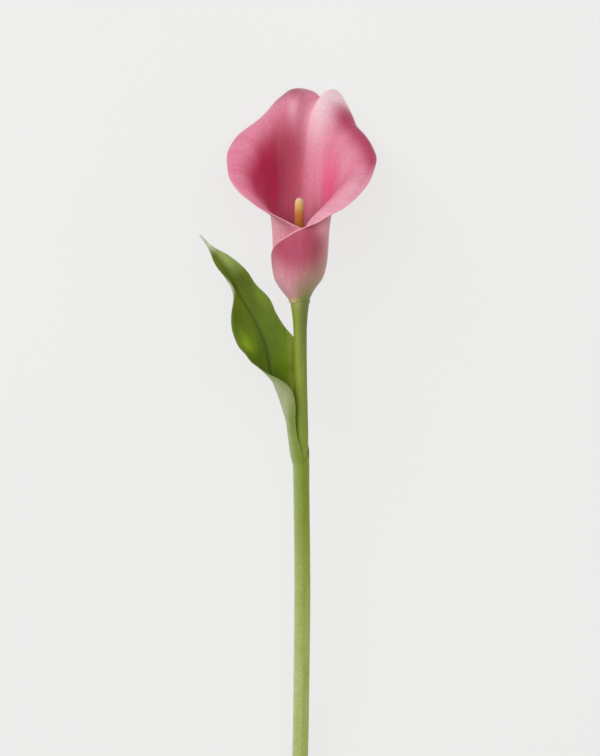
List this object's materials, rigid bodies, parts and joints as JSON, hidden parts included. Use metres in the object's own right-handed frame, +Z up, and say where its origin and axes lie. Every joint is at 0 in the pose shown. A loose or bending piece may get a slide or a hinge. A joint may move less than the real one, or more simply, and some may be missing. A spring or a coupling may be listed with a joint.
{
  "type": "calla lily flower",
  "caption": "Cut calla lily lying on a surface: a rolled pink spathe round a yellow spadix on a bare green stem, with a leaf that sheathes the stem.",
  "frame": {"origin": "centre of the flower's bounding box, on the surface that it lies on", "axes": "+Z up from the surface, +Y along the stem from the cut end to the flower, +X to the right as the flower is seen from above"},
  "size_m": [0.09, 0.3818, 0.0566],
  "materials": {
    "spathe": "satin, soft sheen",
    "spadix": "matt, finely grained",
    "scape": "satin, waxy",
    "leaf": "satin, waxy"
  },
  "bodies": {
    "root": {"spathe": "spathe", "spadix": "spadix", "scape": "scape", "leaf": "leaf"}
  },
  "joints": []
}
